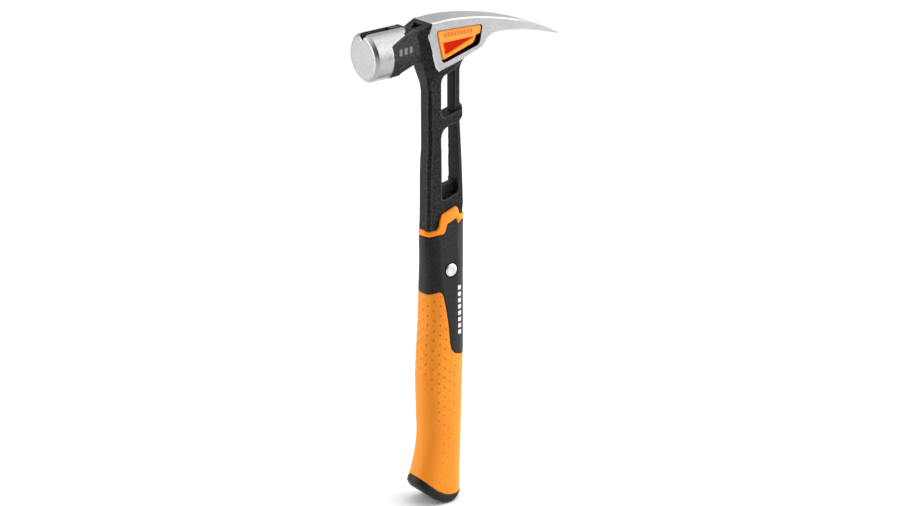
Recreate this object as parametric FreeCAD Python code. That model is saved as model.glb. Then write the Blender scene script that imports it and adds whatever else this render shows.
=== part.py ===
"""Claw hammer with a one-piece steel forging and an isolated, overmoulded handle.

Millimetres. +Z runs up the handle and the origin is the lowest point of the butt, on the handle's axis.
The striking face looks along -X, the claws point along +X, and the hammer is symmetric about Y = 0.
"""
import FreeCAD, Part
import math
import os
from FreeCAD import Placement, Rotation, Vector

# ---------------------------------------------------------------- driving dimensions
POLL_RADIUS = 18.85          # striking poll, outside its chamfer
FACE_RADIUS = 16.6           # flat striking face
FACE_CHAMFER = 2.0           # length of the face's chamfer along the poll
FACE_CENTRE = Vector(-69.0, 0, 372.5)
POLL_TILT = 2.6              # degrees that the face looks down
POLL_LENGTH = 16.0           # turned part, from the face to the shoulder of the neck
NECK_LENGTH = 52.0           # from the face to inside the cheeks
STARTER_FLAT = 18.2          # height of the starter flat above the poll's axis
STARTER_WIDTH = 7.8          # nail-starter groove at its top
STARTER_DEPTH = 4.0
STARTER_END = 34.0           # the groove's length from the face
MAGNET_START = 24.0          # from the face
MAGNET_LENGTH = 8.0
MAGNET_HEIGHT = 3.0          # above the bottom of the groove
RAMP_POCKET_DEPTH = 387.8    # floor height of the three-cornered pocket in the ramp
RAMP_POCKET_HALF = 6.2       # half width of its back wall

CHEEK_HALF = 11.8            # half width of cheeks and claws
SHOULDER_HALF = 11.3         # half width of the painted shoulder in front of the cheeks
POCKET_DEPTH = 7.5           # pocket in each cheek
INSERT_SUNK = 0.1            # how far the insert stays below the cheek's surface
MARK_DEPTH = 1.2             # triangular recess in the insert
SLOT_ROOT = 58.5             # where the slot between the claws ends
SLOT_TAPER_START = 62.0      # the slot's sides run straight from here to the tips

SHANK_HALF = 7.3             # half thickness of the shank
SHANK_BEVEL = 2.7            # bevels along its front edges, and part of that along the rear ones
REAR_BEVEL_SHARE = 0.6
RAIL_HALF = 4.95             # half thickness of the rear rail beside the upper window
WEB_HALF = 2.0               # half thickness of the web at the foot of the lower window
SHANK_END = 228.0            # the full section stops here and the tang begins
TANG_HALF = 4.0              # half thickness of the tang
TANG_END = 66.0
SLEEVE_WALL = 2.2            # elastomer round the tang
SLEEVE_LINING = 1.8          # casing wall outside the sleeve's head
COLLAR_PROUD = 0.25          # how far the collar stands out of the casing

GRIP_WALL = 2.6              # soft overmould
PLUG_INSET = 7.0             # spigot of the end cap inside the casing
PLUG_LENGTH = 12.0

RIVET_X, RIVET_Z = 2.9, 195.3
RIVET_SEAT = 12.0            # |y| of the seats under the rivet's heads
RIVET_HEAD_RADIUS = 5.3
RIVET_WELL_RADIUS = 6.3
RIVET_HEAD_HEIGHT = 1.1
STUD_RADIUS = 2.4
SOCKET_RADIUS = 3.4
TANG_HOLE_RADIUS = 5.4

ROUNDNESS = 2.45             # exponent of the handle's superellipse sections
# height, centre x, half depth (X) and half width (Y) of the handle
HANDLE_SECTIONS = [
    (-4.0, -9.0, 26.0, 15.8), (10.0, -7.6, 24.0, 15.7), (25.6, -4.7, 21.0, 15.3),
    (40.0, -2.4, 19.4, 14.5), (56.0, -0.9, 18.5, 14.1), (76.0, -0.8, 18.8, 14.3),
    (100.0, -0.7, 19.4, 14.6), (127.0, 0.1, 19.3, 14.5), (150.0, 0.9, 18.6, 14.2),
    (177.0, 1.4, 18.2, 13.6), (200.0, 1.9, 18.1, 12.7), (220.0, 1.9, 18.8, 11.2),
    (238.0, 1.9, 19.4, 10.1), (252.0, 1.9, 19.6, 9.8),
]
SECTION_POINTS = 24

WIDE = 40.0                  # beyond the hammer's sides, for cutting tools
EPS = 0.01


# ---------------------------------------------------------------- helpers
def line(*points):
    """A run of straight sides through (x, z) points."""
    return ("line", points)


def curve(*points):
    """A smooth stretch through (x, z) points."""
    return ("curve", points)


def outline(*runs):
    """A closed wire in the XZ plane; each run starts where the last one ended."""
    edges = []
    corners = [Vector(x, 0, z) for _, points in runs for x, z in points]
    first = last = corners[0]
    for kind, points in runs:
        stops = [Vector(x, 0, z) for x, z in points]
        if (stops[0] - last).Length > EPS:
            edges.append(Part.makeLine(last, stops[0]))
        if kind == "line":
            edges += [Part.makeLine(a, b) for a, b in zip(stops, stops[1:])]
        else:
            spline = Part.BSplineCurve()
            spline.interpolate(stops)
            edges.append(spline.toShape())
        last = stops[-1]
    if (last - first).Length > EPS:
        edges.append(Part.makeLine(last, first))
    return Part.Wire(Part.sortEdges(edges)[0])


def slab(wire, low, high):
    """An XZ outline as a solid from y = low to y = high."""
    solid = Part.Face(wire).extrude(Vector(0, high - low, 0))
    solid.translate(Vector(0, low, 0))
    return solid


def both_sides(wire, inner, outer):
    """The same XZ outline as two solids, one on each side of Y = 0."""
    return slab(wire, inner, outer).fuse(slab(wire, -outer, -inner))


def polygon(points):
    """A closed wire through points."""
    return Part.makePolygon(list(points) + [points[0]])


def block(x0, x1, y0, y1, z0, z1):
    """A box between two corners."""
    return Part.makeBox(x1 - x0, y1 - y0, z1 - z0, Vector(x0, y0, z0))


def cylinder_y(x, z, radius, y0, y1):
    """A round bar along Y."""
    return Part.makeCylinder(radius, y1 - y0, Vector(x, y0, z), Vector(0, 1, 0))


def section(z, centre, half_x, half_y):
    """One smooth closed section of the handle."""
    points = []
    for i in range(SECTION_POINTS):
        angle = 2 * math.pi * (i + 0.5) / SECTION_POINTS
        c, s = math.cos(angle), math.sin(angle)
        x = math.copysign(abs(c) ** (2 / ROUNDNESS), c)
        y = math.copysign(abs(s) ** (2 / ROUNDNESS), s)
        points.append(Vector(centre + half_x * x, half_y * y, z))
    spline = Part.BSplineCurve()
    spline.interpolate(points, PeriodicFlag=True)
    return Part.Wire(spline.toShape())


def handle_form(inset=0.0):
    """The handle's outer form, made smaller all round by inset."""
    wires = [section(z, cx, a - inset, b - inset) for z, cx, a, b in HANDLE_SECTIONS]
    return Part.makeLoft(wires, True, False)


# ---------------------------------------------------------------- outlines in the XZ plane
def cheek_outline():
    """Cheeks and claws from the side."""
    return outline(
        curve((-14.8, 393.3), (6.7, 394.0), (32.5, 391.6), (60.5, 386.1), (87.4, 377.5), (105.9, 369.0)),
        line((105.9, 369.0), (104.9, 367.9)),
        curve((104.9, 367.9), (97.6, 369.9), (81.6, 373.8), (65.9, 376.4), (52.0, 377.5), (42.6, 376.8),
              (37.4, 373.9)),
        line((37.4, 373.9), (33.3, 368.4), (12.9, 360.9), (-5.9, 355.1), (-7.5, 354.6), (-10.4, 357.7)),
        curve((-10.4, 357.7), (-14.0, 369.4), (-17.1, 380.4), (-17.5, 385.5), (-14.8, 393.3)),
    )


def pocket_outline():
    """Pocket in the cheek that holds the insert."""
    return outline(line((-10.4, 386.2), (31.4, 385.6), (28.9, 371.2), (-4.4, 361.4)))


def insert_outline():
    """The insert stops short of the pocket's lower right edge and leaves a dark gap there."""
    return outline(line((-10.4, 386.2), (31.4, 385.6), (30.1, 378.2), (26.6, 378.2), (24.7, 372.6), (-2.6, 363.6),
                        (-4.9, 363.6)))


def mark_outline():
    """Triangular recess in the insert."""
    return outline(line((-4.0, 376.4), (24.0, 377.4), (-1.8, 367.0)))


def shank_outline(bevel=0.0):
    """Shank from the side, from under the cheeks to the shoulder above the tang, narrowed by a bevel's depth."""
    f, r = bevel, -bevel * REAR_BEVEL_SHARE
    return outline(
        line((-13.6 + f, 346.0), (-13.6 + f, 293.0)),
        curve((-13.6 + f, 293.0), (-14.6 + f, 280.0), (-15.0 + f, 258.0), (-15.8 + f, SHANK_END)),
        line((-15.8 + f, SHANK_END), (17.2 + r, SHANK_END), (19.3 + r, 246.0)),
        curve((19.3 + r, 246.0), (18.8 + r, 260.0), (17.3 + r, 293.0), (16.2 + r, 312.6)),
        line((16.2 + r, 312.6), (18.6 + r, 315.4), (18.6 + r, 323.4), (16.2 + r, 326.2), (16.2 + r, 350.5)),
        curve((16.2 + r, 350.5), (17.2 + r, 355.2), (21.5 + r, 360.5)),
        line((21.5 + r, 360.5), (12.0, 364.0), (-6.0, 360.0), (-13.6 + f, 346.0)),
    )


def upper_window():
    """Opening between the cheeks and the bridge."""
    return outline(
        line((-2.6, 320.6), (-2.6, 344.5)),
        curve((-2.6, 344.5), (-1.0, 348.4), (2.6, 350.6)),
        line((2.6, 350.6), (11.0, 353.1), (11.0, 319.9), (2.9, 317.5)),
        curve((2.9, 317.5), (-1.2, 317.6), (-2.6, 320.6)),
    )


def lower_window():
    """Opening below the bridge, down to the web."""
    return outline(
        line((-2.2, 261.6), (-2.6, 301.0)),
        curve((-2.6, 301.0), (-1.2, 305.6), (2.2, 308.8)),
        line((2.2, 308.8), (9.4, 311.0)),
        curve((9.4, 311.0), (11.7, 310.2), (12.4, 307.6)),
        line((12.4, 307.6), (13.6, 285.0), (14.0, 264.4)),
    )


def foot_pocket():
    """Recess on both sides of the web at the foot of the lower window."""
    return outline(
        line((-2.2, 264.0), (-2.1, 254.0)),
        curve((-2.1, 254.0), (-1.5, 252.0), (0.6, 251.4)),
        line((0.6, 251.4), (9.4, 254.0)),
        curve((9.4, 254.0), (12.2, 255.6), (13.4, 259.0)),
        line((13.4, 259.0), (13.4, 264.0)),
    )


def tang_outline(wall=0.0):
    """The part of the forging that the handle hides, with an optional wall round it."""
    w = wall
    return outline(line((-9.5 - w, SHANK_END + 1), (12.5 + w, SHANK_END + 1), (8.5 + w, 140.0),
                        (6.5 + w, TANG_END + 4), (3.5 + w, TANG_END - w), (-4.5 - w, TANG_END - w),
                        (-7.5 - w, TANG_END + 4), (-8.0 - w, 140.0)))


COLLAR_LOW = [(-30.0, 228.0), (-20.0, 224.2), (-14.5, 223.2), (-9.5, 224.2), (-2.6, 224.6), (-0.9, 226.0),
              (1.2, 232.1), (10.2, 235.0), (11.0, 233.8), (11.9, 231.2), (13.6, 230.0), (14.6, 232.2),
              (30.0, 232.8)]
COLLAR_TOP = [(-30.0, 233.5), (-20.0, 229.6), (-14.5, 228.0), (-9.4, 228.6), (-7.0, 231.4), (-5.5, 237.4),
              (-4.0, 240.3), (10.4, 245.0), (12.4, 243.4), (14.2, 238.2), (30.0, 238.6)]
PANEL_EDGE = [(-30.0, 178.6), (-16.0, 177.2), (-9.0, 179.4), (-6.4, 178.4), (-5.0, 175.4), (-2.9, 165.0),
              (-0.8, 151.7), (0.7, 136.0), (1.8, 130.6), (5.4, 126.6), (14.0, 123.6), (30.0, 123.0)]
CAP_EDGE = [(-40.0, 36.0), (-30.0, 28.9), (-23.3, 23.0), (-19.0, 18.9), (-12.6, 13.3), (-6.6, 9.6), (-2.4, 7.9),
            (1.7, 6.9), (8.8, 6.2), (13.0, 6.6), (30.0, 9.0)]
BUTT_EDGE = [(-40.0, 27.5), (-30.2, 20.4), (-19.3, 10.0), (-13.2, 5.3), (-7.0, 1.9), (-2.0, 0.4), (2.0, 0.0),
             (6.0, 0.5), (11.0, 2.6), (30.0, 12.0)]
FAR_UP, FAR_DOWN = 300.0, -40.0


def region_above(edge, lift=0.0):
    """Everything above an edge line drawn on the handle's side."""
    points = [(x, z + lift) for x, z in edge]
    return slab(outline(line(*points, (points[-1][0], FAR_UP), (points[0][0], FAR_UP))), -WIDE, WIDE)


def region_below(edge, lift=0.0):
    """Everything below an edge line drawn on the handle's side."""
    points = [(x, z + lift) for x, z in edge]
    return slab(outline(line(*points, (points[-1][0], FAR_DOWN), (points[0][0], FAR_DOWN))), -WIDE, WIDE)


# ---------------------------------------------------------------- the forging
def on_poll_axis(solid):
    """Places a solid that was made along +X from the origin onto the poll's tilted axis."""
    solid.Placement = Placement(FACE_CENTRE, Rotation(Vector(0, 1, 0), -POLL_TILT))
    return solid


def poll():
    """Turned striking poll with its chamfered face."""
    profile = polygon([Vector(0, 0, 0), Vector(0, 0, FACE_RADIUS), Vector(FACE_CHAMFER, 0, POLL_RADIUS),
                       Vector(POLL_LENGTH, 0, POLL_RADIUS), Vector(POLL_LENGTH, 0, 0)])
    return on_poll_axis(Part.Face(profile).revolve(Vector(0, 0, 0), Vector(1, 0, 0), 360))


def mirrored(half):
    """A closed wire from its points on the +Y side."""
    return polygon(half + [Vector(v.x, -v.y, v.z) for v in reversed(half)])


def neck():
    """Round bar behind the poll, cut to a waist by flat sides, lower bevels and a stepped underside."""
    bar = on_poll_axis(Part.makeCylinder(POLL_RADIUS, NECK_LENGTH - POLL_LENGTH + 1,
                                         Vector(POLL_LENGTH - 1, 0, 0), Vector(1, 0, 0)))
    # x, half width of the sides and the height they reach down to, half width and height of the foot
    waists = [(-56.0, 17.1, 370.5, 8.0, 353.0), (-17.0, 6.6, 369.5, 4.0, 358.0)]
    top, bottom = FACE_CENTRE.z + WIDE, FACE_CENTRE.z - WIDE
    wedge = Part.makeLoft([mirrored([Vector(x, side, top), Vector(x, side, low), Vector(x, foot, foot_z)])
                           for x, side, low, foot, foot_z in waists], True, True)
    underside = outline(line((-60, bottom), (-56, 354.0), (-51.5, 355.0), (-40.9, 356.6), (-40.0, 357.8),
                             (-32.3, 360.7), (-27.2, 362.4), (-10, 362.4), (-10, bottom)))
    return bar.common(wedge).cut(slab(underside, -WIDE, WIDE))


def shoulder():
    """Painted facets that spread from the neck's crest to the cheeks and run down into the shank's bevels."""
    shank, wide = SHANK_HALF, SHOULDER_HALF
    # height, crest x and y, outer edge x and y
    rows = [(338.0, -13.6, 4.6, -10.9, shank), (344.0, -14.4, 4.9, -12.8, shank), (352.5, -17.4, 5.7, -8.2, shank),
            (356.0, -18.5, 6.0, -8.4, wide), (363.3, -20.3, 6.9, -11.2, wide), (369.4, -22.2, 7.6, -13.2, wide),
            (375.2, -24.0, 8.1, -15.0, wide), (380.4, -25.6, 8.5, -16.3, wide), (387.4, -27.8, 9.0, -16.6, wide),
            (393.0, -29.4, 9.3, -14.0, wide)]
    wires = [mirrored([Vector(crest_x, crest_y, z), Vector(edge_x, edge_y, z), Vector(0, edge_y, z)])
             for z, crest_x, crest_y, edge_x, edge_y in rows]
    return Part.makeLoft(wires, True, True)


def top_dip():
    """Material taken off between the top of the poll and the front of the cheeks, down a ramp."""
    top = FACE_CENTRE.z + WIDE
    return slab(outline(line((-36.0, top), (-36.0, 396.0), (-34.6, 392.6), (-31.0, 390.8), (-25.6, 388.6),
                             (-14.8, 393.25), (-14.8, top))), -WIDE, WIDE)


def ramp_pocket():
    """Three-cornered pocket in the ramp, with its point towards the poll."""
    plan = polygon([Vector(-26.6, 0, RAMP_POCKET_DEPTH), Vector(-18.0, RAMP_POCKET_HALF, RAMP_POCKET_DEPTH),
                    Vector(-18.0, -RAMP_POCKET_HALF, RAMP_POCKET_DEPTH)])
    return Part.Face(plan).extrude(Vector(0, 0, WIDE))


def starter_cuts():
    """Flat and V groove along the top of the poll that hold a nail."""
    before, above = -2.0, 6.0
    flat = Part.makeBox(NECK_LENGTH, WIDE, above, Vector(before, -WIDE / 2, STARTER_FLAT))
    half_top = STARTER_WIDTH / 2 * (1 + above / STARTER_DEPTH)
    vee = polygon([Vector(before, 0, STARTER_FLAT - STARTER_DEPTH), Vector(before, -half_top, STARTER_FLAT + above),
                   Vector(before, half_top, STARTER_FLAT + above)])
    groove = Part.Face(vee).extrude(Vector(STARTER_END - before, 0, 0))
    return on_poll_axis(flat), on_poll_axis(groove)


def claw_slot():
    """V between the claws, wider underneath so that its upper edges bite."""
    beyond = 108.0
    def vee(z, tip, root):
        end = root * 0.4
        return polygon([Vector(beyond, -tip, z), Vector(beyond, tip, z), Vector(SLOT_TAPER_START, root, z),
                        Vector(SLOT_ROOT, end, z), Vector(SLOT_ROOT, -end, z), Vector(SLOT_TAPER_START, -root, z)])
    return Part.makeLoft([vee(362, 6.6, 2.4), vee(396, 3.9, 1.0)], True, True)


def shank():
    """Bevelled bar under the cheeks, with a rear rail that is thinner higher up."""
    wires = []
    for y, bevel in ((-SHANK_HALF, SHANK_BEVEL), (-SHANK_HALF + SHANK_BEVEL, 0.0),
                     (SHANK_HALF - SHANK_BEVEL, 0.0), (SHANK_HALF, SHANK_BEVEL)):
        wire = shank_outline(bevel)
        wire.translate(Vector(0, y, 0))
        wires.append(wire)
    bar = Part.makeLoft(wires, True, True)
    upper_rail = outline(line((10.6, 319.8), (30, 325.4), (30, 370), (10.6, 354.0)))
    bar = bar.cut(both_sides(upper_rail, RAIL_HALF, WIDE))
    front, back = 11.8, 30.0
    for side in (-1, 1):
        taper = Part.makeLoft([polygon([Vector(front, side * WIDE, z), Vector(back, side * WIDE, z),
                                        Vector(back, side * half, z), Vector(front, side * half, z)])
                               for z, half in ((311.6, RAIL_HALF + 0.6), (280.0, SHANK_HALF + EPS))], True, True)
        bar = bar.cut(taper)
    return bar


def head_and_shank():
    """The whole forging, from the striking face and claws to the end of the tang."""
    cheeks = slab(cheek_outline(), -CHEEK_HALF, CHEEK_HALF).cut(claw_slot())
    body = poll().fuse([neck(), shoulder()])
    flat, groove = starter_cuts()
    body = body.cut(top_dip()).cut(flat).cut(groove).cut(ramp_pocket())
    body = body.fuse([shank(), slab(tang_outline(), -TANG_HALF, TANG_HALF)])
    body = body.cut(slab(upper_window(), -WIDE, WIDE)).cut(slab(lower_window(), -WIDE, WIDE))
    body = body.cut(both_sides(foot_pocket(), WEB_HALF, WIDE)).fuse(cheeks)
    body = body.cut(both_sides(pocket_outline(), CHEEK_HALF - POCKET_DEPTH, CHEEK_HALF + 1))
    return body.cut(cylinder_y(RIVET_X, RIVET_Z, TANG_HOLE_RADIUS, -WIDE, WIDE)).removeSplitter()


def nail_starter_magnet():
    """Magnet let into the groove, with its sides trimmed to the V."""
    slope = STARTER_WIDTH / 2 / STARTER_DEPTH
    bottom = STARTER_FLAT - STARTER_DEPTH
    low, high = bottom + 0.15, bottom + MAGNET_HEIGHT
    half_low, half_high = 0.1, (high - low) * slope
    profile = polygon([Vector(MAGNET_START, -half_low, low), Vector(MAGNET_START, half_low, low),
                       Vector(MAGNET_START, half_high, high), Vector(MAGNET_START, -half_high, high)])
    return on_poll_axis(Part.Face(profile).extrude(Vector(MAGNET_LENGTH, 0, 0)))


def cheek_insert(side):
    """Plastic insert in one cheek's pocket, with a triangular recess in its face."""
    inner, outer = CHEEK_HALF - POCKET_DEPTH, CHEEK_HALF - INSERT_SUNK
    low, high = (inner, outer) if side > 0 else (-outer, -inner)
    face = side * outer
    recess = slab(mark_outline(), min(face, face - side * MARK_DEPTH), max(face, face - side * MARK_DEPTH))
    return slab(insert_outline(), low, high).cut(recess)


# ---------------------------------------------------------------- the handle
def sleeve_block():
    """The sleeve's outer form, before the steel is taken out of it."""
    round_tang = slab(tang_outline(SLEEVE_WALL), -TANG_HALF - SLEEVE_WALL, TANG_HALF + SLEEVE_WALL)
    head = handle_form(SLEEVE_LINING).common(region_below(COLLAR_LOW, EPS))
    head = head.common(block(-WIDE, WIDE, -WIDE, WIDE, SHANK_END - 6, FAR_UP))
    return round_tang.fuse(head)


def collar():
    """Zigzag rim of the sleeve that shows between the shank and the casing."""
    return handle_form(-COLLAR_PROUD).common(region_above(COLLAR_LOW)).common(region_below(COLLAR_TOP))


def isolation_sleeve(steel):
    """Elastomer from the end of the tang up to the collar, moulded round the steel."""
    bush = cylinder_y(RIVET_X, RIVET_Z, TANG_HOLE_RADIUS, -TANG_HALF - 1, TANG_HALF + 1)
    sleeve = sleeve_block().fuse([bush, collar()]).cut(steel)
    return sleeve.cut(cylinder_y(RIVET_X, RIVET_Z, SOCKET_RADIUS, -WIDE, WIDE))


def handle_casing(form, steel):
    """Rigid casing: full size above the grip's edge, and a core inside the grip."""
    panel = form.common(region_above(PANEL_EDGE)).common(region_below(COLLAR_LOW))
    core = handle_form(GRIP_WALL).common(region_below(PANEL_EDGE, EPS)).common(region_above(CAP_EDGE))
    casing = panel.fuse(core).cut(sleeve_block()).cut(steel)
    casing = casing.cut(handle_form(PLUG_INSET).common(region_below(CAP_EDGE, PLUG_LENGTH)))
    for side in (-1, 1):
        low, high = sorted((side * RIVET_SEAT, side * WIDE))
        casing = casing.cut(cylinder_y(RIVET_X, RIVET_Z, RIVET_WELL_RADIUS, low, high))
    return casing.cut(cylinder_y(RIVET_X, RIVET_Z, SOCKET_RADIUS, -WIDE, WIDE))


def grip(form):
    """Soft overmould between the panel's edge and the end cap."""
    shell = form.cut(handle_form(GRIP_WALL))
    return shell.common(region_below(PANEL_EDGE)).common(region_above(CAP_EDGE)).removeSplitter()


def end_cap(form):
    """Butt cap with a spigot that holds it in the casing."""
    cap = form.common(region_below(CAP_EDGE)).common(region_above(BUTT_EDGE))
    spigot = handle_form(PLUG_INSET).common(region_below(CAP_EDGE, PLUG_LENGTH)).common(region_above(CAP_EDGE, -EPS))
    return cap.fuse(spigot).removeSplitter()


def rivet_head(side):
    """Domed rivet head that rests in its well."""
    dome_radius = (RIVET_HEAD_RADIUS ** 2 + RIVET_HEAD_HEIGHT ** 2) / (2 * RIVET_HEAD_HEIGHT)
    seat = RIVET_SEAT * side
    centre = Vector(RIVET_X, seat + side * (RIVET_HEAD_HEIGHT - dome_radius), RIVET_Z)
    disc = cylinder_y(RIVET_X, RIVET_Z, RIVET_HEAD_RADIUS, min(seat, seat + side * 3), max(seat, seat + side * 3))
    return Part.makeSphere(dome_radius, centre).common(disc)


def rivet_stud():
    """Near head with the shaft that crosses the tang."""
    return rivet_head(-1).fuse(cylinder_y(RIVET_X, RIVET_Z, STUD_RADIUS, -RIVET_SEAT - 0.2, RIVET_SEAT - 3))


def rivet_socket():
    """Far head with the tube that the stud is pressed into."""
    tube = cylinder_y(RIVET_X, RIVET_Z, SOCKET_RADIUS, -RIVET_SEAT + 1.0, RIVET_SEAT + 0.2)
    return rivet_head(1).fuse(tube).cut(cylinder_y(RIVET_X, RIVET_Z, STUD_RADIUS, -WIDE, RIVET_SEAT - 3))


# ---------------------------------------------------------------- output
def build():
    """All the pieces by name."""
    form = handle_form()
    steel = head_and_shank()
    return {
        "head_and_shank": steel,
        "nail_starter_magnet": nail_starter_magnet(),
        "cheek_insert_right": cheek_insert(-1),
        "cheek_insert_left": cheek_insert(1),
        "isolation_sleeve": isolation_sleeve(steel),
        "handle_casing": handle_casing(form, steel),
        "grip": grip(form),
        "end_cap": end_cap(form),
        "rivet_stud": rivet_stud(),
        "rivet_socket": rivet_socket(),
    }


os.makedirs("parts", exist_ok=True)
for name, shape in build().items():
    box = shape.BoundBox
    print(f"{name}: solids {len(shape.Solids)}, valid {shape.isValid()}, volume {shape.Volume:.0f}, "
          f"x {box.XMin:.1f}..{box.XMax:.1f}, y {box.YMin:.1f}..{box.YMax:.1f}, z {box.ZMin:.1f}..{box.ZMax:.1f}")
    shape.exportStep(f"parts/{name}.step")
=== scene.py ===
"""Claw hammer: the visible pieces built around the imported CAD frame.

Lengths are in millimetres and become metres when a mesh is made; only the studio's are in metres throughout.
+Z runs up the handle, -X out of the striking face, +X along the claws, and Y = 0 is the plane of symmetry.
"""
import math

import bmesh
import bpy
import numpy as np
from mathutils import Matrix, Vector
from mathutils.geometry import tessellate_polygon


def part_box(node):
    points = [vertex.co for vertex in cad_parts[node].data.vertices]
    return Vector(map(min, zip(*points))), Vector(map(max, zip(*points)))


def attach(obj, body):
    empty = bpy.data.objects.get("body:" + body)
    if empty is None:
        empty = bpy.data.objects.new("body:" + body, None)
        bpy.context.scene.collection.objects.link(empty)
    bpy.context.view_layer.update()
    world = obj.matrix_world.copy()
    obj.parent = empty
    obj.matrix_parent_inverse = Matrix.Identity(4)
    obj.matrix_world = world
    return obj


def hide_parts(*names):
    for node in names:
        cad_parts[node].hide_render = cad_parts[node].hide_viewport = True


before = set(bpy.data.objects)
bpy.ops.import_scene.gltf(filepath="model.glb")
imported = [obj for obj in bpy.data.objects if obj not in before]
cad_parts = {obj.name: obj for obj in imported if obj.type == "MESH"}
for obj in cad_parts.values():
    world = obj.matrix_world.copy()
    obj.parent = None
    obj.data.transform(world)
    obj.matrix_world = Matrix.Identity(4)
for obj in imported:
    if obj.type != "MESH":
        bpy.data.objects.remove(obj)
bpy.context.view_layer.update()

MM = 0.001

# ---------------------------------------------------------------- driving dimensions
FACE_CENTRE = (-69.0, 0.0, 372.5)
POLL_TILT = math.radians(2.6)
POLL_RADIUS, FACE_RADIUS, FACE_CHAMFER = 18.85, 16.6, 2.0
STARTER_FLAT, STARTER_HALF, STARTER_DEPTH = 18.2, 3.9, 4.0
MAGNET_START, MAGNET_LENGTH = 24.0, 8.0

CHEEK_HALF, POCKET_FLOOR = 11.8, 4.3
INSERT_FACE, MARK_DEPTH = 11.65, 1.3
TANG_HALF, TANG_END = 4.0, 66.0

RIVET_X, RIVET_Z = 2.9, 195.3
RIVET_HEAD_RADIUS, RIVET_WELL_RADIUS, RIVET_WELL_FLOOR = 5.25, 6.3, 10.6
# half section of a rivet head, as radius and distance from Y = 0
RIVET_PROFILE = [(5.0, 10.0), (RIVET_HEAD_RADIUS, 10.4), (RIVET_HEAD_RADIUS, 12.15), (5.15, 12.4),
                 (4.9, 12.6), (4.4, 12.84), (3.8, 12.98), (3.2, 13.02), (2.7, 12.96), (2.3, 12.82),
                 (1.6, 12.74), (0.8, 12.7)]

ROUNDNESS = 2.45
# height, centre x, half depth (X) and half width (Y) of the handle's sections
SECTIONS = np.array([
    (-4.0, -9.0, 26.0, 15.8), (10.0, -7.6, 24.0, 15.7), (25.6, -4.7, 21.0, 15.3), (40.0, -2.4, 19.4, 14.5),
    (56.0, -0.9, 18.5, 14.1), (76.0, -0.8, 18.8, 14.3), (100.0, -0.7, 19.4, 14.6), (127.0, 0.1, 19.3, 14.5),
    (150.0, 0.9, 18.6, 14.2), (177.0, 1.4, 18.2, 13.6), (200.0, 1.9, 18.1, 12.6), (220.0, 1.9, 18.9, 10.8),
    (238.0, 1.9, 19.4, 9.9), (252.0, 1.9, 19.6, 9.7)])
GRIP_WALL = 2.6
SKIN = 0.12  # the visible skin stays this much inside the CAD form
GAP = 0.05  # clearance between neighbouring handle pieces

# edges drawn on the side of the handle, as (x, z)
COLLAR_LOW = [(-30.0, 228.0), (-20.0, 224.2), (-14.5, 223.2), (-9.5, 224.2), (-2.6, 224.6), (-0.9, 226.0),
              (1.2, 232.1), (10.2, 235.0), (11.0, 233.8), (11.9, 231.2), (13.6, 230.0), (14.6, 232.2),
              (30.0, 232.8)]
COLLAR_TOP = [(-30.0, 233.5), (-20.0, 229.6), (-14.5, 228.0), (-9.4, 228.6), (-7.0, 231.4), (-5.5, 237.4),
              (-4.0, 240.3), (10.4, 245.0), (12.4, 243.4), (14.2, 238.2), (30.0, 238.6)]
PANEL_EDGE = [(-30.0, 178.6), (-16.0, 177.2), (-9.0, 179.4), (-6.4, 178.4), (-5.0, 175.4), (-2.9, 165.0),
              (-0.8, 151.7), (0.7, 136.0), (1.8, 130.6), (5.4, 126.6), (14.0, 123.6), (30.0, 123.0)]
CAP_EDGE = [(-40.0, 36.0), (-30.0, 28.9), (-23.3, 23.0), (-19.0, 18.9), (-12.6, 13.3), (-6.6, 9.6),
            (-2.4, 7.9), (1.7, 6.9), (8.8, 6.2), (13.0, 6.6), (30.0, 9.0)]
BUTT_EDGE = [(-40.0, 27.5), (-30.2, 20.4), (-19.3, 10.0), (-13.2, 5.3), (-7.0, 1.9), (-2.0, 0.4), (2.0, 0.0),
             (6.0, 0.5), (11.0, 2.6), (30.0, 12.0)]


# ---------------------------------------------------------------- camera, light and floor
# the studio's places and distances are in metres and its angles in degrees
CAMERA_AZIMUTH, CAMERA_ELEVATION, CAMERA_DISTANCE = -36.2, 19.2, 1.9412
CAMERA_TARGET = Vector((0.0105, 0.0, 0.2043))
LIGHT_TARGET = Vector((0.0, 0.0, 0.22))

# name, azimuth, elevation, distance, width, height and brightness
SOFTBOXES = [("left_box", -124.0, 12.0, 1.4, 0.55, 1.3, 3.8), ("right_box", 60.0, 16.0, 1.4, 0.55, 1.3, 4.8),
             ("top_box", -60.0, 80.0, 1.4, 0.9, 0.9, 0.8), ("back_box", 94.0, 57.0, 1.5, 0.8, 0.7, 0.7)]

WORLD_LEVEL = 0.74
# azimuth, elevation, cosines of the angles where the patch starts and is full, and its change of level
WORLD_PATCHES = [(-38.0, 6.0, 0.38, 0.86, -0.73), (-118.0, 15.0, 0.6, 0.95, 0.35),
                 (44.0, 34.0, 0.6, 0.95, 0.95), (144.0, 22.0, 0.55, 0.95, 0.12)]
FLOOR_REACH = 40.0


def direction(azimuth, elevation):
    """Unit vector from the hammer towards a place in the studio; azimuth 0 faces the near side."""
    a, e = math.radians(azimuth), math.radians(elevation)
    return Vector((math.sin(a) * math.cos(e), -math.cos(a) * math.cos(e), math.sin(e)))


def add_aimed(name, data, target, back, distance):
    """A camera or light that looks at target from a distance along back."""
    thing = loose_object(name, data)
    thing.location = target + back * distance
    thing.rotation_mode = "QUATERNION"
    thing.rotation_quaternion = (-back).to_track_quat("-Z", "Y")
    return thing


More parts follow.
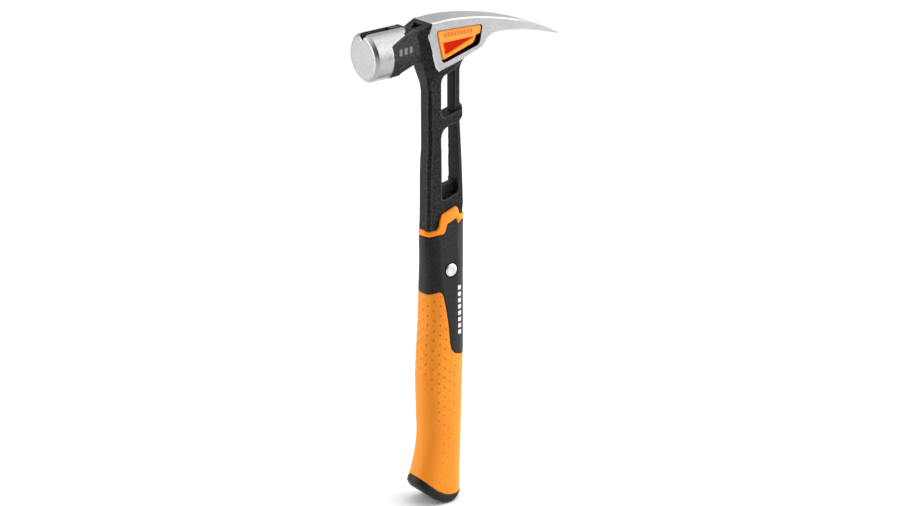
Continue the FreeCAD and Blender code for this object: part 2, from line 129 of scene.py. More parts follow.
def add_camera():
    """Long lens, a little above the head and in front of the near side of the face."""
    data = bpy.data.cameras.new("camera")
    data.lens, data.sensor_width = 100.0, 36.0
    data.clip_start, data.clip_end = 0.05, 50.0
    back = direction(CAMERA_AZIMUTH, CAMERA_ELEVATION)
    bpy.context.scene.camera = add_aimed("camera", data, CAMERA_TARGET, back, CAMERA_DISTANCE)


def softbox(name, azimuth, elevation, distance, width, height, radiance):
    """An area light of a given brightness that faces the middle of the hammer."""
    data = bpy.data.lights.new(name, "AREA")
    data.shape, data.size, data.size_y = "RECTANGLE", width, height
    data.energy = radiance * math.pi * width * height
    add_aimed(name, data, LIGHT_TARGET, direction(azimuth, elevation), distance)


def add_world():
    """Pale surroundings, much darker before the hammer's near corner and brighter in three other patches."""
    world = bpy.data.worlds.new("studio")
    world.use_nodes = True
    tree = world.node_tree
    background = tree.nodes["Background"]
    background.inputs["Color"].default_value = (1.0, 1.0, 1.0, 1.0)
    ray = node(tree, "TexCoord").outputs["Generated"]
    strength = WORLD_LEVEL
    for azimuth, elevation, start, full, change in WORLD_PATCHES:
        cosine = node(tree, "VectorMath", {0: ray, 1: direction(azimuth, elevation)},
                      operation="DOT_PRODUCT").outputs["Value"]
        part = node(tree, "MapRange", {"Value": cosine, "From Min": start, "From Max": full, "To Min": 0.0,
                                       "To Max": change}, interpolation_type="SMOOTHSTEP").outputs["Result"]
        strength = math_node(tree, "ADD", part, strength)
    tree.links.new(strength, background.inputs["Strength"])
    bpy.context.scene.world = world


def add_studio():
    """The surroundings, a softbox on each side, one overhead and one behind, and a pale floor."""
    add_world()
    bpy.context.scene.view_settings.view_transform = "Standard"
    bpy.context.scene.view_settings.look = "Medium High Contrast"
    for box in SOFTBOXES:
        softbox(*box)
    mesh = bpy.data.meshes.new("floor")
    corners = [(x * FLOOR_REACH, y * FLOOR_REACH, 0.0) for x, y in ((-1, -1), (1, -1), (1, 1), (-1, 1))]
    mesh.from_pydata(corners, [], [(0, 1, 2, 3)])
    mesh.materials.append(floor_material())
    loose_object("floor", mesh)


# ---------------------------------------------------------------- materials
def node(tree, kind, inputs=None, **settings):
    """Adds a shader node; an input is a value or another node's socket."""
    made = tree.nodes.new("ShaderNode" + kind)
    for key, value in settings.items():
        setattr(made, key, value)
    for key, value in (inputs or {}).items():
        if isinstance(value, bpy.types.NodeSocket):
            tree.links.new(value, made.inputs[key])
        else:
            made.inputs[key].default_value = value
    return made


def math_node(tree, operation, first, second):
    """The result of a sum, product or comparison of two values or sockets."""
    return node(tree, "Math", {0: first, 1: second}, operation=operation).outputs[0]


def new_material(name, **constants):
    """A principled material; constants are set on the shader's own sockets."""
    material = bpy.data.materials.new(name)
    material.use_nodes = True
    shader = material.node_tree.nodes["Principled BSDF"]
    for key, value in constants.items():
        shader.inputs[key.replace("_", " ")].default_value = value
    return material, material.node_tree, shader


def place(tree, scale=(1.0, 1.0, 1.0)):
    """Object coordinates in millimetres, stretched by scale."""
    coordinate = node(tree, "TexCoord").outputs["Object"]
    mapping = node(tree, "Mapping", {"Vector": coordinate, "Scale": [s / MM for s in scale]})
    return mapping.outputs["Vector"]


def noise(tree, place_socket, scale, detail=2.0, roughness=0.5):
    """Fractal noise; scale is in features per millimetre."""
    return node(tree, "TexNoise", {"Vector": place_socket, "Scale": scale, "Detail": detail,
                                   "Roughness": roughness}).outputs["Fac"]


def spread(tree, value, low, high, start=0.3, end=0.7):
    """A value that runs from low to high while its source runs from start to end."""
    return node(tree, "MapRange", {"Value": value, "From Min": start, "From Max": end, "To Min": low,
                                   "To Max": high}).outputs["Result"]


def blend_colour(tree, factor, first, second):
    """A colour between two."""
    mix = node(tree, "Mix", data_type="RGBA")
    for index, value in ((0, factor), (6, first), (7, second)):
        if isinstance(value, bpy.types.NodeSocket):
            tree.links.new(value, mix.inputs[index])
        else:
            mix.inputs[index].default_value = value if index == 0 else (*value[:3], 1.0)
    return mix.outputs[2]


def relief(tree, shader, height, strength, distance_mm):
    """Bump from a height socket."""
    bump = node(tree, "Bump", {"Height": height, "Strength": strength, "Distance": distance_mm * MM})
    tree.links.new(bump.outputs["Normal"], shader.inputs["Normal"])


def floor_material():
    """Pale matt studio floor with a barely uneven tone."""
    material, tree, shader = new_material("floor_pale", Roughness=0.9)
    tone = spread(tree, noise(tree, place(tree), 0.01), 0.0, 1.0)
    tree.links.new(blend_colour(tree, tone, [0.912] * 3, [0.922] * 3), shader.inputs["Base Color"])
    return material


def steel_material(name, speckle, brush, level=1.0):
    """Ground steel; speckle is its grain in millimetres and brush the direction of its scratches."""
    material, tree, shader = new_material(name, Metallic=1.0)
    coarse = noise(tree, place(tree), 1.0 / speckle, 3.0, 0.7)
    fine = noise(tree, place(tree), 4.0 / speckle, 2.0, 0.6)
    lines = noise(tree, place(tree, brush), 1.6, 4.0, 0.6)
    broad = noise(tree, place(tree), 0.07, 2.0)
    tone = blend_colour(tree, spread(tree, coarse, 0.0, 1.0, 0.35, 0.65), [0.29 * level] * 3,
                        [0.41 * level] * 3)
    tone = blend_colour(tree, spread(tree, lines, 0.0, 0.5, 0.4, 0.7), tone, [0.45 * level] * 3)
    tree.links.new(tone, shader.inputs["Base Color"])
    rough = math_node(tree, "ADD", spread(tree, broad, 0.25, 0.31), spread(tree, coarse, 0.0, 0.08))
    tree.links.new(rough, shader.inputs["Roughness"])
    relief(tree, shader, math_node(tree, "ADD", coarse, fine), 0.5, 0.03)
    return material


def black_material(name, colour, rough, grain_size, depth_mm, specular=0.5):
    """Black finish with a fine pebbled surface; its tone is returned too, for printing on."""
    material, tree, shader = new_material(name, Specular_IOR_Level=specular)
    pebbles = noise(tree, place(tree), 1.0 / grain_size, 3.0, 0.6)
    broad = noise(tree, place(tree), 0.06, 2.0)
    low, high = [c * 0.45 for c in colour], [c * 2.0 for c in colour]
    tone = blend_colour(tree, spread(tree, pebbles, 0.0, 1.0, 0.4, 0.62), low, high)
    tree.links.new(tone, shader.inputs["Base Color"])
    tree.links.new(spread(tree, broad, rough - 0.03, rough + 0.05), shader.inputs["Roughness"])
    relief(tree, shader, pebbles, 0.5, depth_mm)
    return material, tree, shader, tone


def orange_material(name, colour, rough, grain_size, depth_mm, specular, dimple_shade=False):
    """Moulded orange plastic or rubber; where there are dimples, painted shade gives them a deeper colour."""
    material, tree, shader = new_material(name, Specular_IOR_Level=specular)
    grain = noise(tree, place(tree), 1.0 / grain_size, 3.0, 0.6)
    broad = noise(tree, place(tree), 0.05, 2.0)
    darker, paler = [c * 0.965 for c in colour], [min(1.0, c * 1.03) for c in colour]
    tone = blend_colour(tree, spread(tree, broad, 0.0, 1.0), darker, paler)
    tone = blend_colour(tree, spread(tree, grain, 0.0, 0.25), tone, darker)
    if dimple_shade:
        # painted shade: the dimples take a deeper colour
        dimple_shade_colour = (colour[0] * 0.84, colour[1] * 0.56, colour[2] * 0.45)
        tone = blend_colour(tree, mesh_field(tree, "dimple_shade"), tone, dimple_shade_colour)
    tree.links.new(tone, shader.inputs["Base Color"])
    tree.links.new(spread(tree, grain, rough - 0.05, rough + 0.06), shader.inputs["Roughness"])
    relief(tree, shader, grain, 0.4, depth_mm)
    return material


def inside_range(tree, value, start, end):
    """1 where a value is between two limits, 0 elsewhere."""
    above = math_node(tree, "GREATER_THAN", value, start)
    below = math_node(tree, "LESS_THAN", value, end)
    return math_node(tree, "MULTIPLY", above, below)


def bars_mask(tree, low, high, pitch, share):
    """1 on a column of bars between two corners (x, z), 0 elsewhere."""
    where = node(tree, "SeparateXYZ", {"Vector": place(tree)})
    x, z = where.outputs["X"], where.outputs["Z"]
    box = math_node(tree, "MULTIPLY", inside_range(tree, x, low[0], high[0]),
                    inside_range(tree, z, low[1], high[1]))
    phase = math_node(tree, "MODULO", math_node(tree, "SUBTRACT", z, low[1]), pitch)
    return math_node(tree, "MULTIPLY", box, math_node(tree, "LESS_THAN", phase, pitch * share))


def mesh_field(tree, name):
    """How much of a tone to mix in, up to 0.85, from a field of 0 to 1 that is stored on the mesh."""
    attribute = node(tree, "Attribute", attribute_name=name).outputs["Fac"]
    return spread(tree, attribute, 0.0, 0.85, 0.0, 1.0)


PIPS = [-46.0, -40.4, -34.8]  # front edges of the neck's pips
PIP_LENGTH, PIP_LOW, PIP_HIGH = 3.2, 373.2, 378.2


def paint_material():
    """Black sprayed paint over the forging, with three short pips stamped on each side of the neck, a painted
    highlight on its outer edges and painted shade on the inner walls of the shank's windows.
    """
    material, tree, shader, tone = black_material("black_paint", [0.019] * 3, rough=0.40, grain_size=1.5,
                                                  depth_mm=0.16, specular=0.12)
    mask = None
    for left in PIPS:
        pip = bars_mask(tree, (left, PIP_LOW), (left + PIP_LENGTH, PIP_HIGH), 2 * (PIP_HIGH - PIP_LOW), 1.0)
        mask = pip if mask is None else math_node(tree, "MAXIMUM", mask, pip)
    # painted highlight: the outer edges are lighter, broken up by noise
    edge_highlight = node(tree, "Attribute", attribute_name="edge_highlight").outputs["Fac"]
    patchy = spread(tree, noise(tree, place(tree), 0.9, 3.0, 0.7), 0.35, 1.0)
    amount = spread(tree, math_node(tree, "MULTIPLY", edge_highlight, patchy), 0.0, 0.75, 0.0, 1.0)
    tone = blend_colour(tree, amount, tone, [0.085] * 3)
    # painted shade: the inner walls of the windows go nearly black
    tone = blend_colour(tree, mesh_field(tree, "inner"), tone, [0.003] * 3)
    tree.links.new(blend_colour(tree, mask, tone, (0.16, 0.16, 0.155)), shader.inputs["Base Color"])
    return material


def nylon_material(name):
    """Black moulded nylon of the casing and the cap."""
    return black_material(name, (0.017, 0.017, 0.0175), rough=0.42, grain_size=0.6, depth_mm=0.05,
                          specular=0.22)


BARS_LOW, BARS_HIGH, BARS_PITCH, BARS_SHARE = (8.9, 141.5), (12.1, 183.0), 5.2, 0.62


def casing_material():
    """Black nylon with a column of plain white bars printed on the near side."""
    material, tree, shader, tone = nylon_material("casing_black")
    bars = bars_mask(tree, BARS_LOW, BARS_HIGH, BARS_PITCH, BARS_SHARE)
    across = node(tree, "SeparateXYZ", {"Vector": place(tree)}).outputs["Y"]
    bars = math_node(tree, "MULTIPLY", bars, math_node(tree, "LESS_THAN", across, 0.0))
    tree.links.new(blend_colour(tree, bars, tone, [0.85] * 3), shader.inputs["Base Color"])
    return material


def magnet_material():
    """Dark sintered magnet with a faint grain."""
    return black_material("magnet_black", (0.008, 0.008, 0.009), rough=0.5, grain_size=0.2, depth_mm=0.02)[0]


def rivet_material():
    """Bright polished rivet with fine turning marks."""
    return steel_material("rivet_bright", speckle=0.4, brush=(1.0, 0.2, 1.0), level=1.5)


# ---------------------------------------------------------------- mesh helpers
def raw_mesh(name, vertices, faces):
    """A mesh from millimetre vertices."""
    mesh = bpy.data.meshes.new(name)
    mesh.from_pydata((np.asarray(vertices, dtype=float) * MM).tolist(), [], [tuple(f) for f in faces])
    return mesh


def turn_outward(mesh):
    """Makes the faces of a closed mesh point outward."""
    work = bmesh.new()
    work.from_mesh(mesh)
    bmesh.ops.recalc_face_normals(work, faces=work.faces)
    work.to_mesh(mesh)
    work.free()
    return mesh


def mesh_of(name, vertices, faces):
    """A mesh from millimetre vertices with outward normals."""
    return turn_outward(raw_mesh(name, vertices, faces))


def loose_object(name, data):
    """A linked object, either for the studio or to hold modifiers for a while."""
    thing = bpy.data.objects.new(name, data)
    bpy.context.scene.collection.objects.link(thing)
    return thing


def make_piece(name, node_name, slot_name, materials, vertices, faces, sharp):
    """A mesh piece of the hammer from millimetre vertices, finished by declare."""
    mesh = raw_mesh(name, vertices, faces)
    mesh.validate()
    return declare(name, node_name, materials, mesh, sharp)


def declare(name, node_name, materials, mesh, sharp, flat_faces=False):
    """An object for a finished mesh: normals outward, smooth up to a sharp angle, parented to the root body
    and its CAD part hidden.
    """
    turn_outward(mesh)
    mesh.polygons.foreach_set("use_smooth", [True] * len(mesh.polygons))
    mesh.set_sharp_from_angle(angle=math.radians(sharp))
    mesh.materials.clear()
    for material in materials:
        mesh.materials.append(material)
    piece = loose_object(name, mesh)
    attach(piece, "root")
    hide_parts(node_name)
    if flat_faces:
        shading = piece.modifiers.new("flat_faces", "WEIGHTED_NORMAL")
        shading.keep_sharp, shading.weight = True, 100
    return piece


def take_mesh(thing):
    """The mesh of a working object with its modifiers applied; the object goes."""
    bpy.context.view_layer.update()
    depsgraph = bpy.context.evaluated_depsgraph_get()
    mesh = bpy.data.meshes.new_from_object(thing.evaluated_get(depsgraph))
    bpy.data.objects.remove(thing)
    return mesh


def cut_away(mesh, cutters):
    """mesh less each cutter mesh."""
    body = loose_object("body", mesh)
    tools = [loose_object("tool", cutter) for cutter in cutters]
    for tool in tools:
        modifier = body.modifiers.new("cut", "BOOLEAN")
        modifier.operation, modifier.solver, modifier.object = "DIFFERENCE", "EXACT", tool
    result = take_mesh(body)
    for tool in tools:
        bpy.data.objects.remove(tool)
    return result


def bevelled(mesh, width, segments=2, angle=50.0):
    """mesh with its sharp edges rounded."""
    body = loose_object("body", mesh)
    modifier = body.modifiers.new("bevel", "BEVEL")
    modifier.width, modifier.segments = width * MM, segments
    modifier.limit_method, modifier.angle_limit = "ANGLE", math.radians(angle)
    modifier.miter_outer = "MITER_ARC"
    return take_mesh(body)


def grid_faces(rows, columns):
    """Quads of a grid of vertices whose rows are rings."""
    faces = []
    for row in range(rows - 1):
        for column in range(columns):
            after = (column + 1) % columns
            faces.append((row * columns + column, row * columns + after, (row + 1) * columns + after,
                          (row + 1) * columns + column))
    return faces


def capped_faces(rows, columns):
    """Faces of a grid of rings with one face over the first ring and one over the last."""
    last = (rows - 1) * columns
    caps = [tuple(range(columns)), tuple(last + c for c in reversed(range(columns)))]
    return grid_faces(rows, columns) + caps


def looped_faces(rows, columns):
    """Faces of a grid of rings whose last ring joins the first."""
    last = (rows - 1) * columns
    return grid_faces(rows, columns) + [(last + c, last + (c + 1) % columns, (c + 1) % columns, c)
                                        for c in range(columns)]


def smooth_run(points, steps=8):
    """Points along a smooth curve through points, each as (x, z)."""
    p = np.array(points, dtype=float)
    p = np.vstack([2 * p[0] - p[1], p, 2 * p[-1] - p[-2]])
    run = []
    for i in range(1, len(p) - 2):
        for t in np.arange(steps) / steps:
            run.append(0.5 * (2 * p[i] + (p[i + 1] - p[i - 1]) * t
                              + (2 * p[i - 1] - 5 * p[i] + 4 * p[i + 1] - p[i + 2]) * t * t
                              + (3 * p[i] - 3 * p[i + 1] + p[i + 2] - p[i - 1]) * t ** 3))
    run.append(p[-2])
    return run


def outline(*runs):
    """A closed outline from runs of points, without repeated points."""
    points = []
    for run in runs:
        for point in run:
            if not points or math.dist(points[-1], point) > 0.02:
                points.append(tuple(float(v) for v in point))
    if math.dist(points[0], points[-1]) < 0.02:
        points.pop()
    return points


def inset_outline(points, depth):
    """An outline moved inward; depth is a number or a function of a point."""
    p = np.array(points)
    area = sum(a[0] * b[1] - b[0] * a[1] for a, b in zip(points, points[1:] + points[:1]))
    before, after = p - np.roll(p, 1, axis=0), np.roll(p, -1, axis=0) - p
    before /= np.linalg.norm(before, axis=1)[:, None]
    after /= np.linalg.norm(after, axis=1)[:, None]
    turn = math.copysign(1.0, area)
    n1 = np.stack([-before[:, 1], before[:, 0]], axis=1) * turn
    n2 = np.stack([-after[:, 1], after[:, 0]], axis=1) * turn
    middle = n1 + n2
    middle /= np.linalg.norm(middle, axis=1)[:, None]
    stretch = 1.0 / np.clip((middle * n1).sum(axis=1), 0.4, 1.0)
    amount = np.array([depth(x, z) if callable(depth) else depth for x, z in points])
    return [tuple(v) for v in p + middle * (stretch * amount)[:, None]]


def prism(layers):
    """Vertices and faces of a solid whose outline changes from layer to layer; a layer is (y, outline)."""
    vertices = [(x, y, z) for y, points in layers for x, z in points]
    count = len(layers[0][1])
    cap = [Vector((x, z, 0.0)) for x, z in layers[0][1]]
    triangles = [tuple(t) for t in tessellate_polygon([cap])]
    last = (len(layers) - 1) * count
    faces = grid_faces(len(layers), count) + triangles
    faces += [tuple(last + i for i in reversed(t)) for t in triangles]
    return vertices, faces


def plate(points, end, other_end, bevel=0.0):
    """A flat solid between two values of y, with its rims chamfered by bevel."""
    low, high = sorted((end, other_end))
    if not bevel:
        return prism([(low, points), (high, points)])
    small = inset_outline(points, bevel)
    return prism([(low, small), (low + bevel, points), (high - bevel, points), (high, small)])


def join(*parts):
    """Several (vertices, faces) as one."""
    vertices, faces = [], []
    for v, f in parts:
        start = len(vertices)
        vertices += [tuple(p) for p in v]
        faces += [tuple(i + start for i in face) for face in f]
    return vertices, faces


def tube(path, radius, sides=8):
    """A closed round bead along a closed path that lies in a plane of constant y."""
    p = np.array(path)
    ahead = np.roll(p, -1, axis=0) - np.roll(p, 1, axis=0)
    ahead /= np.linalg.norm(ahead, axis=1)[:, None]
    across = np.stack([-ahead[:, 2], np.zeros(len(p)), ahead[:, 0]], axis=1)
    turns = np.arange(sides) / sides * 2 * math.pi
    rings = p[:, None] + radius * (np.cos(turns)[None, :, None] * across[:, None]
                                   + np.sin(turns)[None, :, None] * np.array([0.0, 1.0, 0.0]))
    return rings.reshape(-1, 3), looped_faces(len(p), sides)


# ---------------------------------------------------------------- the handle's form
def cubic(table, z):
    """Smooth interpolation of the columns of table over its first column."""
    knots, values = table[:, 0], table[:, 1:]
    slopes = np.gradient(values, knots, axis=0)
    i = np.clip(np.searchsorted(knots, z) - 1, 0, len(knots) - 2)
    span = knots[i + 1] - knots[i]
    t = np.clip((z - knots[i]) / span, 0.0, 1.0)[..., None]
    h = span[..., None]
    return ((2 * t ** 3 - 3 * t ** 2 + 1) * values[i] + (t ** 3 - 2 * t ** 2 + t) * h * slopes[i]
            + (3 * t ** 2 - 2 * t ** 3) * values[i + 1] + (t ** 3 - t ** 2) * h * slopes[i + 1])


def power(value):
    """Superellipse share of a cosine or sine."""
    return np.sign(value) * np.abs(value) ** (2 / ROUNDNESS)


def handle_point(angle, z, inset):
    """x and y on the handle's form, inset from its surface."""
    form = cubic(SECTIONS, z)
    x = form[..., 0] + (form[..., 1] - inset) * power(np.cos(angle))
    return x, (form[..., 2] - inset) * power(np.sin(angle))


def even_angles(count, height=100.0):
    """Angles of points evenly spaced round the grip at a height, starting behind, and its girth there."""
    dense = np.linspace(0.0, 2 * math.pi, 7201)
    x, y = handle_point(dense, np.full(dense.shape, height), 0.0)
    length = np.concatenate([[0.0], np.cumsum(np.hypot(np.diff(x), np.diff(y)))])
    places = (np.arange(count) + 0.5) / count * length[-1]
    return np.interp(places, length, dense), length[-1]


COLUMNS = 264
ANGLES, GIRTH = even_angles(COLUMNS)
ARC = (np.arange(COLUMNS) + 0.5) / COLUMNS * GIRTH  # distance round from the middle of the grip's back


def edge_height(edge):
    """Height of an edge line at every column, and how much z changes per millimetre across the line."""
    line = np.array(edge)
    z = np.full(ANGLES.shape, line[:, 1].mean())
    for _ in range(12):  # settles, as x depends on z
        x, _y = handle_point(ANGLES, z, 0.0)
        z = 0.5 * z + 0.5 * np.interp(x, line[:, 0], line[:, 1])
    rise = np.gradient(np.concatenate([z[-2:], z, z[:2]]))[2:-2] / (GIRTH / COLUMNS)
    return z, np.sqrt(1 + np.clip(rise, -9, 9) ** 2)


LIP = 0.75  # radius of the rolled edges between handle pieces
LIP_STEPS = np.array([0.0, 0.03, 0.12, 0.3, 0.5, 0.75])


def band_rows(low, high, rows):
    """Heights of a band's grid rows and each row's distance from its nearer edge."""
    (z0, k0), (z1, k1) = low, high
    heights = [z0 + step * k0 for step in LIP_STEPS]
    edges = list(LIP_STEPS)
    start, end = z0 + LIP * k0, z1 - LIP * k1
    for i in range(1, rows):
        heights.append(start + (end - start) * i / rows)
        edges.append(LIP)
    heights += [z1 - step * k1 for step in LIP_STEPS[::-1]]
    edges += list(LIP_STEPS[::-1])
    return np.array(heights), np.array(edges)


def rolled(distance):
    """How far a rounded edge falls away at a distance from it."""
    return LIP * (1 - np.sqrt(np.clip(1 - (1 - distance / LIP) ** 2, 0.0, 1.0)))


def band(low, high, rows, wall, shape, inner_rows=14):
    """A closed wall round the handle between two edge lines, and its count of outer rows.

    shape(z, lip) gives the outer x and y, with lip the depth of the rolled edge.
    """
    z, edges = band_rows(low, high, rows)
    x, y = shape(z, np.broadcast_to(rolled(edges)[:, None], z.shape))
    outer = np.stack([x, y, z], axis=-1)
    picks = np.linspace(len(z) - 1, 0, inner_rows).round().astype(int)
    zi = z[picks]
    xi, yi = handle_point(ANGLES, zi, wall)
    inner = np.stack([xi, yi, zi], axis=-1)
    rings = np.concatenate([outer, inner])
    return rings.reshape(-1, 3), looped_faces(len(rings), COLUMNS), len(z)


# ---------------------------------------------------------------- handle pieces
PIT_COLUMNS, PIT_PITCH, PIT_RADIUS, PIT_DEPTH = 22, 8.0, 1.4, 0.44
RING_WIDTH, RING_HEIGHT = 0.3, 0.16  # of the low ring round each dimple
PIT_MARGIN = 2.2  # bare width beside the edges of the grip
# how far the grip is bare each side of the middle of its front, and how deep the dimples are, by height
BARE_HEIGHTS, BARE_WIDTHS = [20.0, 60.0, 85.0, 105.0, 118.0], [21.0, 17.0, 14.0, 6.0, -3.0]
STRENGTH_HEIGHTS, STRENGTHS = [20.0, 60.0, 110.0], [0.55, 0.7, 1.0]


def pit_field(z):
    """Depth share of the dimples on the grip, from 0 to 1, and of the low ring round each."""
    spacing = GIRTH / PIT_COLUMNS
    column = np.floor(ARC / spacing)
    across = ARC - (column + 0.5) * spacing
    offset = np.where(column % 2 == 0, 0.0, PIT_PITCH / 2)
    along = (z - offset + PIT_PITCH / 2) % PIT_PITCH - PIT_PITCH / 2
    distance = np.hypot(np.broadcast_to(across, z.shape), along)
    hollow = np.clip(1 - (distance / PIT_RADIUS) ** 2, 0.0, 1.0) ** 1.5
    ring = np.exp(-((distance - PIT_RADIUS - RING_WIDTH) / RING_WIDTH) ** 2)
    from_front = np.abs(ARC - GIRTH / 2)
    share = np.clip((from_front - np.interp(z, BARE_HEIGHTS, BARE_WIDTHS)) / 3.0, 0.0, 1.0)
    near = np.minimum(edge_distance(z, PANEL_EDGE), edge_distance(z, CAP_EDGE))
    share = share * np.clip(near - PIT_MARGIN, 0.0, 1.0)
    strength = np.interp(z, STRENGTH_HEIGHTS, STRENGTHS)
    return hollow * share * strength, ring * share * strength


def edge_distance(z, edge):
    """Roughly how far the grid points of a band are from an edge line."""
    height, stretch = edge_height(edge)
    return np.abs(z - height) / stretch


GRIP_TOP, GRIP_DIVE = 181.0, 1.0  # the skin's top and its extra depth under the casing
GRIP_SINK = 0.15  # the grip stays this much below the other skins


def grip_shape(z, lip):
    """Outer surface of the grip with its dimples; past the panel edge it dives under the casing."""
    hollow, ring = pit_field(z)
    height, stretch = edge_height(PANEL_EDGE)
    below = (height - z) / stretch
    dive = np.where(below > 0.0, rolled(np.clip(below, 0.0, LIP)),
                    LIP + np.clip(-3.0 * below, 0.0, GRIP_DIVE))
    inset = SKIN + GRIP_SINK + np.maximum(lip, dive) + hollow * PIT_DEPTH - ring * RING_HEIGHT
    return handle_point(ANGLES, z, inset)


PANEL_HEIGHTS = [150.0, 176.0, 196.0, 212.0, 224.0, 232.0]
PANEL_HALVES = [15.0, 13.2, 11.95, 10.75, 9.75, 9.1]
PANEL_BACK = 12.0  # the flat panel stops here, towards the claw side


def casing_shape(z, lip):
    """Outer surface of the casing, flattened into a panel on each side."""
    x, y = handle_point(ANGLES, z, SKIN + lip)
    panel = np.where(x > PANEL_BACK, np.inf, np.interp(z, PANEL_HEIGHTS, PANEL_HALVES) - lip)
    return x, np.sign(y) * np.minimum(np.abs(y), panel)


COLLAR_CROWN, COLLAR_PROUD = 0.9, 0.12


def collar_shape(z, lip):
    """Outer surface of the collar, crowned between its edges and a little proud of the handle."""
    share = (z - z[0]) / (z[-1] - z[0])
    return handle_point(ANGLES, z, lip - COLLAR_PROUD + COLLAR_CROWN * (2.0 * share - 1.0) ** 2)


def build_grip(material):
    """Orange grip with its field of dimples."""
    low, high = edge_height(CAP_EDGE), (np.full(COLUMNS, GRIP_TOP), np.ones(COLUMNS))
    vertices, faces, outer_rows = band((low[0] + GAP, low[1]), high, rows=430, wall=GRIP_WALL - 0.3,
                                       shape=grip_shape)
    piece = make_piece("grip_skin", "grip", "grip_orange", [material], vertices, faces, sharp=60.0)
    # the dimples' depth is kept on the mesh for the painted shade in them
    hollow, _ring = pit_field(np.asarray(vertices)[:, 2].reshape(-1, COLUMNS))
    hollow[outer_rows:] = 0.0
    dimple_shade = piece.data.attributes.new("dimple_shade", "FLOAT", "POINT")
    dimple_shade.data.foreach_set("value", hollow.reshape(-1).astype(np.float32))
    return piece


def build_casing(material):
    """Black casing between the grip and the collar, with a round well on each side for the rivet."""
    low, high = edge_height(PANEL_EDGE), edge_height(COLLAR_LOW)
    vertices, faces, _rows = band((low[0] + GAP, low[1]), (high[0] - GAP, high[1]), rows=110,
                                  wall=GRIP_WALL + 1.4, shape=casing_shape)
    ring = [(RIVET_X + RIVET_WELL_RADIUS * math.cos(a), RIVET_Z + RIVET_WELL_RADIUS * math.sin(a))
            for a in np.linspace(0, 2 * math.pi, 64, endpoint=False)]
    wells = [mesh_of("well", *plate(ring, side * RIVET_WELL_FLOOR, side * 20.0)) for side in (-1, 1)]
    mesh = cut_away(mesh_of("handle_casing", vertices, faces), wells)
    return declare("casing_shell", "handle_casing", [material], mesh, sharp=40.0)


def build_collar(material):
    """Orange zigzag rim of the sleeve, closed on top against the shank."""
    low, high = edge_height(COLLAR_LOW), edge_height(COLLAR_TOP)
    vertices, faces, _rows = band((low[0] + GAP, low[1]), high, rows=24, wall=6.0, shape=collar_shape,
                                  inner_rows=4)
    return make_piece("sleeve_collar", "isolation_sleeve", "sleeve_orange", [material], vertices, faces,
                      sharp=40.0)


CAP_ROUND = 2.6  # radius of the turn under into the butt
BUTT_LIFT = 0.15


def butt_height(x):
    """Height of the visible butt at x, a little above the CAD form's."""
    line = np.array(BUTT_EDGE)
    return np.interp(x, line[:, 0], line[:, 1]) + BUTT_LIFT


def wall_ring(z, inset):
    """One ring of the handle's form, at a height for every column."""
    return np.stack([*handle_point(ANGLES, z, inset), z], axis=-1)


def build_cap(material):
    """Black end cap: a crescent of wall that turns under into the slanted butt."""
    top, stretch = edge_height(CAP_EDGE)
    butt, _k = edge_height(BUTT_EDGE)
    wall_top = top - GAP
    lid = wall_ring(wall_top, GRIP_WALL)
    centre = lid.mean(axis=0)
    rings = [centre + (lid - centre) * 0.06, centre + (lid - centre) * 0.5, lid]
    rings += [wall_ring(wall_top - step * stretch, SKIN + rolled(step)) for step in LIP_STEPS]
    side_top = wall_top - LIP * stretch
    side_low = np.minimum(butt + CAP_ROUND, side_top - 0.3)
    rings += [wall_ring(side_top + (side_low - side_top) * share, SKIN) for share in np.linspace(0, 1, 9)[1:]]
    for turn in np.linspace(0, math.pi / 2, 9)[1:]:
        x, y = handle_point(ANGLES, side_low, SKIN + CAP_ROUND * (1 - math.cos(turn)))
        under = butt_height(x)
        rings.append(np.stack([x, y, under + (side_low - under) * (1 - math.sin(turn))], axis=-1))
    rim = rings[-1]
    middle = rim.mean(axis=0)
    for share in (0.8, 0.6, 0.4, 0.2, 0.06):
        ring = middle + (rim - middle) * share
        ring[:, 2] = butt_height(ring[:, 0])
        rings.append(ring)
    return make_piece("cap_shell", "end_cap", "cap_black", [material], np.array(rings).reshape(-1, 3),
                      capped_faces(len(rings), COLUMNS), sharp=50.0)


def build_rivets(material):
    """The two rivet heads, turned domes with a shallow dish in the middle."""
    turns = np.linspace(0, 2 * math.pi, 72, endpoint=False)
    for node_name in ("rivet_stud", "rivet_socket"):
        low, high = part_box(node_name)
        side = -1 if abs(low[1]) > abs(high[1]) else 1
        vertices = [(RIVET_X + r * math.cos(a), side * y, RIVET_Z + r * math.sin(a)) for r, y in RIVET_PROFILE
                    for a in turns]
        make_piece(node_name + "_head", node_name, "rivet_bright", [material], vertices,
                   capped_faces(len(RIVET_PROFILE), len(turns)), sharp=50.0)


# ---------------------------------------------------------------- head pieces
def rounded(points, radius, steps=5):
    """An outline of straight runs with its corners rounded."""
    result = []
    count = len(points)
    for i, corner in enumerate(points):
        p = Vector(corner)
        back, forward = Vector(points[i - 1]) - p, Vector(points[(i + 1) % count]) - p
        reach = min(radius, back.length * 0.45, forward.length * 0.45)
        start, end = p + back.normalized() * reach, p + forward.normalized() * reach
        for t in np.linspace(0, 1, steps + 1):
            point = start * (1 - t) ** 2 + p * 2 * t * (1 - t) + end * t ** 2
            result.append((point.x, point.y))
    return result


